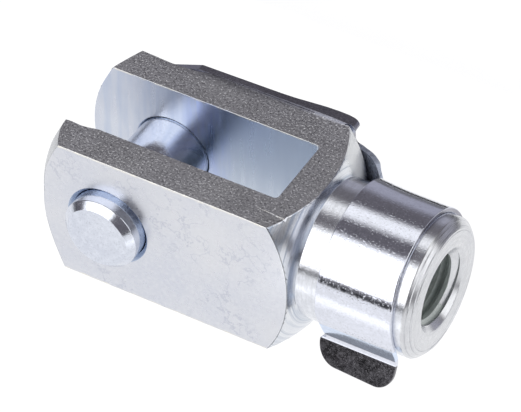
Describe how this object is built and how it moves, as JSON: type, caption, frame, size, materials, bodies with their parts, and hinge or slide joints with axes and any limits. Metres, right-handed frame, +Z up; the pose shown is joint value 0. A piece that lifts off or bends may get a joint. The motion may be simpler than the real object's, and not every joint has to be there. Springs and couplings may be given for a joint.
{
  "type": "rod clevis with pin",
  "caption": "Square fork head with a tapped round neck, a cross pin through its ears, and a folded spring clip that carries the pin and snaps over the neck.",
  "frame": {"origin": "where the axis of the cross pin meets the axis of the thread, in the middle of the slot", "axes": "+X along the thread's axis, from the pin to the neck's open end; +Y along the pin, towards the clip's plate; +Z up, square to both, on the side where the band goes over the neck"},
  "size_m": [0.0512, 0.024, 0.0204],
  "materials": {
    "fork_steel": "machined steel, bright zinc plated: satin flats, fine turning marks on the shoulder and neck",
    "pin_steel": "turned steel, bright zinc plated, smooth",
    "clip_steel": "spring steel strip, bright zinc plated: glossy faces, duller sheared edges"
  },
  "bodies": {
    "fork": {"clevis_fork": "fork_steel"},
    "clip": {"spring_clip": "clip_steel", "clevis_pin": "pin_steel"}
  },
  "joints": [
    {"name": "clip_swing", "type": "hinge", "parent": "fork", "child": "clip", "pos_m": [0, 0, 0], "axis": [0, -1, 0], "range_deg": [0, 320], "deforming": ["spring_clip"]}
  ]
}
